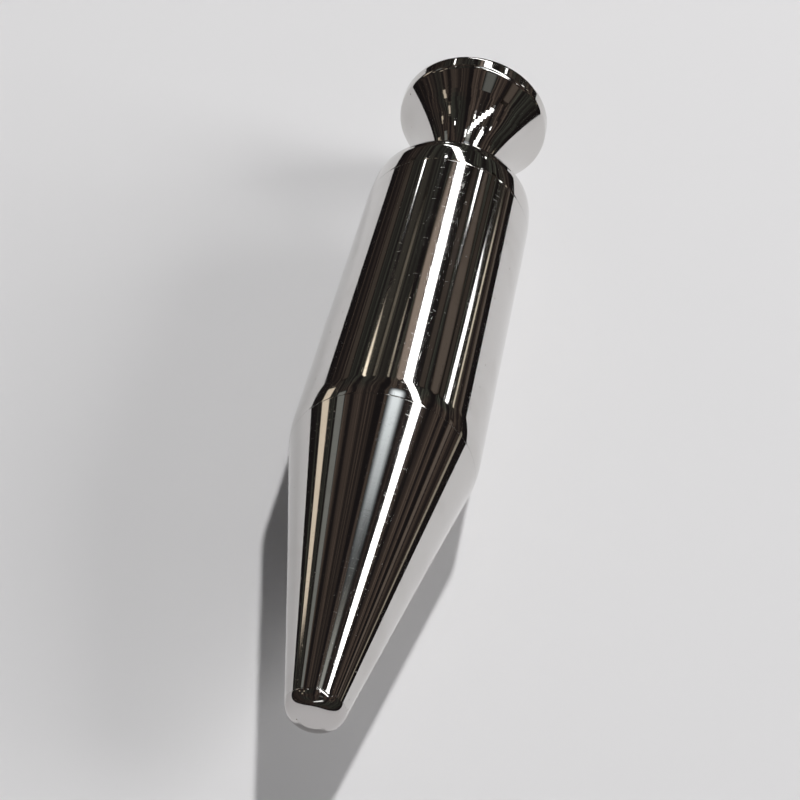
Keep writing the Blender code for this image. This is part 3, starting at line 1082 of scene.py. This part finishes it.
# Each row: name, the ends' places, width, colour, brightness and the share that fades out.
CEILING_LAMPS = (
    ("main_strip", (0.54, 0.08), (-0.95, 3.4), 0.155, WHITE, 6.0, 0.03),
    ("head_tube", (-0.27, 0.25), (0.64, -0.29), 0.11, WHITE, 6.0, 0.3),
    ("head_window", (-1.95, -0.52), (-1.57, -0.52), 0.30, TAN, 0.7, 0.5),
    ("head_shelf", (-1.46, -0.13), (-1.22, -0.13), 0.26, TAN, 0.7, 0.5),
    ("head_door", (-3.0, 0.18), (-2.5, 0.24), 0.40, TAN, 0.7, 0.5),
    ("head_patch", (-0.02, -0.56), (0.32, -0.56), 0.22, GREY, 0.14, 0.5),
    ("head_case", (0.75, -0.62), (1.25, -0.66), 0.30, BROWN, 0.10, 0.6),
    ("rear_strip", (0.50, -1.05), (-0.60, -3.0), 0.20, WHITE, 1.6, 0.3),
    ("soft_box", (-0.05, 0.30), (-0.05, 0.66), 0.36, COOL, 1.5, 0.8),
    ("soft_tail", (-0.05, 0.05), (-0.05, 0.36), 0.26, GREY, 0.42, 0.7),
)
WALL_LAMPS = (
    ("brown_strip", (-14, 37), (-2, 45), 5.5, BROWN, 0.34, 0.5),
    ("right_dim", (33, 37), (44, 45), 8.0, BROWN, 0.12, 0.5),
    ("right_grey", (20, 36), (24, 46), 6.0, BROWN, 0.06, 0.5),
    ("right_strip", (63, 39.6), (56.5, 47), 3.2, WHITE, 3.0, 0.2),
    ("right_thin", (73, 38), (68, 47), 1.8, WARM, 0.8, 0.4),
    ("right_edge", (84, 36), (82, 48), 4.0, BROWN, 0.12, 0.4),
    ("right_brown", (51, 35), (50, 47), 5.0, BROWN, 0.05, 0.6),
    ("left_streak", (-52, 41.6), (-46, 45), 2.4, WARM, 1.6, 0.5),
    ("left_faint", (-38, 38), (-36, 45), 3.0, WARM, 0.16, 0.5),
    ("left_line", (-22, 40.5), (-18, 44), 1.6, WARM, 0.5, 0.6),
    ("left_dim", (-76, 36), (-72, 47), 6.0, BROWN, 0.06, 0.5),
    ("tan_panel", (-82, 52), (-84, 68.5), 9.0, TAN, 0.85, 0.15),
    ("grey_panel", (-64, 60), (-64, 76), 8.5, GREY, 0.22, 0.25),
    ("cone_right", (66, 58), (62, 76), 5.0, BROWN, 0.14, 0.5),
    ("cone_line", (84, 58), (80, 72), 3.0, WARM, 0.35, 0.4),
)
SPOTS = ((-0.2, 1.8), (0.75, 2.3), (-1.34, 2.13), (-0.47, 1.54), (0.58, 1.49), (-0.86, 0.12), (0.01, -0.08),
         (0.91, 0.03), (0.53, 0.18), (0.33, 0.34))


@dataclass
class Studio:
    """A pale sheet to lie on, soft light, and a dark room with lamps that the steel reflects."""

    axis_height: float
    shoulder: float
    camera_turn: float = radians(5)
    room_height: float = 1.5
    floor_half: float = 3.0
    sheet_half: float = 0.095
    sheet_length: float = 1.6
    flag_lift: float = 0.002
    spot_half: float = 0.035
    faintest: float = 0.02
    dark: Colour = (0.012, 0.010, 0.010)
    floor_tilt: float = radians(1.26)

    def build(self) -> None:
        """Build the sheet, the dark surround, the lamps, the lights and the sky."""
        self.floor()
        self.flags()
        for make, rows in ((ceiling_lamp, CEILING_LAMPS), (wall_lamp, WALL_LAMPS)):
            for row in rows:
                self.lamp(make(*row))
        for number, (side, beyond) in enumerate(SPOTS):
            ends = (side - self.spot_half, beyond), (side + self.spot_half, beyond)
            self.lamp(ceiling_lamp(f"spot_{number}", *ends, 2 * self.spot_half, WHITE, 6.0, 0.5))
        self.lights()
        self.sky()

    def room_point(self, place: Iterable[float]) -> Vector:
        """Return the world point of a place in the room, which is turned with the camera."""
        turned = Matrix.Rotation(self.camera_turn, 3, "Y") @ Vector(place) * self.room_height
        return turned + Vector((0, self.shoulder, self.axis_height))

    def panel(self, name: str, corners: list[Vector], material: Material) -> Object:
        """Make a four-cornered stage panel with a UV map.

        Args:
            name: the panel's name.
            corners: its corners in order, in metres.
            material: its material.

        Returns:
            The panel.
        """
        mesh = bpy.data.meshes.new(name)
        mesh.from_pydata([tuple(corner) for corner in corners], [], [(0, 1, 2, 3)])
        layer = mesh.uv_layers.new(name="UVMap")
        for loop, place in zip(layer.data, ((0, 0), (1, 0), (1, 1), (0, 1))):
            loop.uv = place
        mesh.materials.append(material)
        panel = new_object(name, mesh)
        return panel

    @staticmethod
    def only_reflected(panel: Object) -> None:
        """Leave a panel to be seen in reflections alone."""
        panel.visible_camera = False
        panel.visible_diffuse = False
        panel.visible_shadow = False
        panel.visible_transmission = False

    def glow(self, name: str, colour: Colour, level: float, soft: float) -> Material:
        """Return an emission material that fades towards the panel's edges.

        Args:
            name: the material's name.
            colour: its colour.
            level: its brightness.
            soft: the share of the panel that fades out.

        Returns:
            The material.
        """
        made, graph = blank_material(name)
        along, across, _ = graph.parts(graph.node("ShaderNodeTexCoord").outputs["UV"])
        edge_along = along.through("MINIMUM", 1 - along).between(0.0, soft * 0.5)
        edge_across = across.through("MINIMUM", 1 - across).between(0.0, soft * 0.5)
        strength = edge_along * edge_across * level
        shine = graph.node("ShaderNodeEmission", {}, {"Color": rgba(colour), "Strength": strength})
        clear = graph.node("ShaderNodeBsdfTransparent")
        shown = (edge_along * edge_across) > self.faintest
        graph.show(graph.node("ShaderNodeMixShader", {}, {0: shown, 1: clear.outputs[0], 2: shine.outputs[0]}))
        return made

    def lamp(self, lamp: Lamp) -> None:
        """Hang one lamp in the room.

        Args:
            lamp: the lamp.
        """
        start, end = self.room_point(lamp.start), self.room_point(lamp.end)
        towards = (start + end) / 2 - Vector((0, self.shoulder, self.axis_height))
        side = (end - start).cross(towards).normalized() * lamp.width * self.room_height / 2
        corners = [start - side, end - side, end + side, start + side]
        panel = self.panel(lamp.name, corners, self.glow(lamp.name, lamp.colour, lamp.level, lamp.soft))
        self.only_reflected(panel)

    def on_floor(self, low: Place, high: Place, lift: float = 0.0) -> list[Vector]:
        """Return a rectangle's corners on the floor, which is tilted so that the barrel's taper rests on it.

        Args:
            low: the corner with the smaller coordinates, in metres from the shoulder.
            high: the corner with the larger ones.
            lift: its height above the floor.

        Returns:
            The corners in order.
        """
        tilt = Matrix.Rotation(self.floor_tilt, 3, "X")
        return [tilt @ Vector((x, y, lift)) + Vector((0, self.shoulder, 0))
                for x, y in ((low[0], low[1]), (high[0], low[1]), (high[0], high[1]), (low[0], high[1]))]

    def floor(self) -> None:
        """Lay the pale sheet."""
        made, graph = blank_material("pale_sheet")
        place = graph.node("ShaderNodeTexCoord").outputs["Object"]
        cloud = graph.noise(place, 9.0, 2.0)
        colour = graph.mix(cloud, (0.80, 0.795, 0.80, 1.0), (0.83, 0.82, 0.825, 1.0))
        shader = graph.node("ShaderNodeBsdfPrincipled", {}, {
            "Base Color": colour, "Roughness": 0.6, "Specular IOR Level": 0.25})
        graph.show(shader)
        far = self.floor_half
        self.panel("pale_sheet", self.on_floor((-far, -far), (far, far)), made)

    def flags(self) -> None:
        """Lay dark flags beyond the sheet's edges, which only reflections see."""
        made, graph = blank_material("dark_flag")
        graph.show(graph.node("ShaderNodeEmission", {}, {"Color": rgba(self.dark), "Strength": 1.0}))
        near, far, end = self.sheet_half, self.floor_half, self.sheet_half * self.sheet_length
        for name, low, high in (("flag_right", (near, -far), (far, far)),
                                ("flag_left", (-far, -far), (-near, far)),
                                ("flag_beyond", (-near, end), (near, far)),
                                ("flag_before", (-near, -far), (near, -end))):
            self.only_reflected(self.panel(name, self.on_floor(low, high, self.flag_lift), made))

    def lights(self) -> None:
        """Set the soft lights that shade the sheet; reflections don't show them."""
        for name, place, size, power in (("key", (-0.01, 0.52, 1.0), (0.08, 0.08), 17.0),
                                         ("side", (1.2, 0.3, 0.6), (1.3, 1.3), 29.0)):
            data = bpy.data.lights.new(name, "AREA")
            data.shape = "RECTANGLE"
            data.size, data.size_y = size
            data.energy = power
            light = new_object(name, data)
            light.location = self.room_point(place)
            aim = Vector((0, self.shoulder, 0)) - light.location
            light.rotation_euler = aim.to_track_quat("-Z", "Y").to_euler()
            light.visible_glossy = False

    def room_colour(self, graph: Graph) -> Socket:
        """Return the dark room's colour: furniture and shelves as bands round the bob's axis.

        Args:
            graph: the world's graph.

        Returns:
            The colour.
        """
        bearing = graph.node("ShaderNodeTexCoord").outputs["Generated"]
        across, _, up = graph.parts(bearing)
        side = across.through("ARCTAN2", up)
        drift = graph.noise(bearing, 2.6, 2.0)
        bands = graph.noise(side + drift * 0.35, 6.5, 4.0).between(0.40, 0.64)
        fine = graph.noise(side + drift * 0.2, 26.0, 2.0).between(0.44, 0.66)
        tint = graph.mix(graph.noise(bearing, 1.7, 1.0).between(0.4, 0.6), (0.135, 0.100, 0.080, 1.0),
                         (0.085, 0.090, 0.072, 1.0))
        return graph.mix(bands * (0.35 + fine * 0.65), rgba(self.dark), tint)

    def sky(self) -> None:
        """Make the surround: pale to the eye and to the sheet, dark in the steel's reflections."""
        world = bpy.data.worlds.new("studio")
        world.use_nodes = True
        graph = Graph(world.node_tree)
        path = graph.node("ShaderNodeLightPath")
        pale = graph.node("ShaderNodeBackground", {}, {"Color": (0.97, 0.97, 1.0, 1.0), "Strength": 0.10})
        seen = graph.node("ShaderNodeBackground", {}, {"Color": (0.72, 0.715, 0.72, 1.0), "Strength": 1.0})
        dark = graph.node("ShaderNodeBackground", {}, {"Color": self.room_colour(graph), "Strength": 1.0})
        first = graph.node("ShaderNodeMixShader", {}, {0: path.outputs["Is Camera Ray"], 1: pale.outputs[0],
                                                       2: seen.outputs[0]})
        last = graph.node("ShaderNodeMixShader", {}, {0: path.outputs["Is Glossy Ray"], 1: first.outputs[0],
                                                      2: dark.outputs[0]})
        graph.show(last, "ShaderNodeOutputWorld")
        bpy.context.scene.world = world


@dataclass(frozen=True)
class View:
    """The camera's place round the bob."""

    distance: float = 0.3783
    azimuth: float = radians(4.96)
    elevation: float = radians(44.93)
    roll: float = radians(7.99)
    target: tuple[float, float] = (0.0002, -0.0027)
    lens: float = 135.0

    def set_up(self, axis_height: float) -> None:
        """Make the camera and make it the scene's own.

        Args:
            axis_height: the height that it looks at, in metres.
        """
        level = cos(self.elevation)
        outward = Vector((sin(self.azimuth) * level, -cos(self.azimuth) * level, sin(self.elevation)))
        data = bpy.data.cameras.new("camera")
        data.lens = self.lens
        data.sensor_width = 36.0
        data.clip_start = 0.01
        data.clip_end = 20.0
        camera = new_object("camera", data)
        camera.location = Vector((*self.target, axis_height)) + outward * self.distance
        look = (-outward).to_track_quat("-Z", "Y")
        camera.rotation_euler = (look @ Quaternion((0, 0, 1), self.roll)).to_euler()
        bpy.context.scene.camera = camera


def clear_strays() -> None:
    """Remove the objects that the file opened with, apart from the frame's own."""
    kept = set(frame["nodes"].values()) | set(frame["bodies"].values())
    for thing in [thing for thing in bpy.data.objects if thing not in kept]:
        bpy.data.objects.remove(thing, do_unlink=True)


def main() -> None:
    """Build the bob and the studio round the frame."""
    logging.basicConfig(level=logging.INFO, format="%(name)s %(message)s")
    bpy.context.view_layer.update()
    clear_strays()
    places = {joint["name"]: joint["pos_m"] for joint in frame["joints"] if "pos_m" in joint}
    fit = Fittings()
    axis_height = places["head_turn"][2]
    shoulder = places["head_turn"][1] - fit.body_length * MM
    View().set_up(axis_height)
    Studio(axis_height, shoulder).build()
    finishes = {finish.name: finish.make(axis_height)
                for finish in (POLISHED, HARDENED, TURNED, BRASS, CAST, RUBBER, FELT)}
    lathe = Lathe(axis_height, shoulder)
    for group in (Body, Nose, Head):
        group(lathe, fit, finishes).build()
    bpy.context.scene.view_settings.view_transform = "Standard"
    bpy.context.view_layer.update()


if __name__ == "__main__":
    main()
